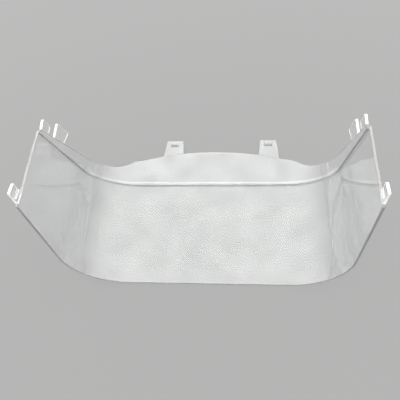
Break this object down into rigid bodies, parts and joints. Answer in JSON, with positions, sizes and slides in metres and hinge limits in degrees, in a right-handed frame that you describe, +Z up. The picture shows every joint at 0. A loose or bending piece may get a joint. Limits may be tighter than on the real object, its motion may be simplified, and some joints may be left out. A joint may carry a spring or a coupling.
{
  "type": "sneeze guard",
  "caption": "Clear U-shaped guard with large bends, a lapped rear collar, slotted sprung latch tabs, side lugs and rim hooks.",
  "frame": {"origin": "centre of the footprint, on the underside of the main panel that the guard lies on", "axes": "+X across from wing to wing, +Y from the open front edge to the latch tabs, +Z up the wings"},
  "size_m": [0.382, 0.264, 0.2217],
  "materials": {
    "clear_sheet": "polished clear sheet with a faint grey haze",
    "clear_collar": "polished clear sheet with a faint grey haze",
    "clear_fittings": "clear with bright cut edges"
  },
  "bodies": {
    "guard": {"guard_sheet": "clear_sheet", "rear_collar": "clear_collar", "lower_lug_left": "clear_fittings", "lower_lug_right": "clear_fittings", "upper_lug_left": "clear_fittings", "upper_lug_right": "clear_fittings", "rim_hook_left": "clear_fittings", "rim_hook_right": "clear_fittings"},
    "latch_left": {"latch_tab_left": "clear_fittings"},
    "latch_right": {"latch_tab_right": "clear_fittings"}
  },
  "joints": [
    {"name": "latch_left_flex", "type": "hinge", "parent": "guard", "child": "latch_left", "pos_m": [-0.0685, 0.0945, 0.0045], "axis": [1, 0, 0], "range_deg": [-4, 4], "stiffness_Nm_per_rad": 13},
    {"name": "latch_right_flex", "type": "hinge", "parent": "guard", "child": "latch_right", "pos_m": [0.0935, 0.089, 0.0045], "axis": [1, 0, 0], "range_deg": [-4, 4], "stiffness_Nm_per_rad": 13}
  ]
}
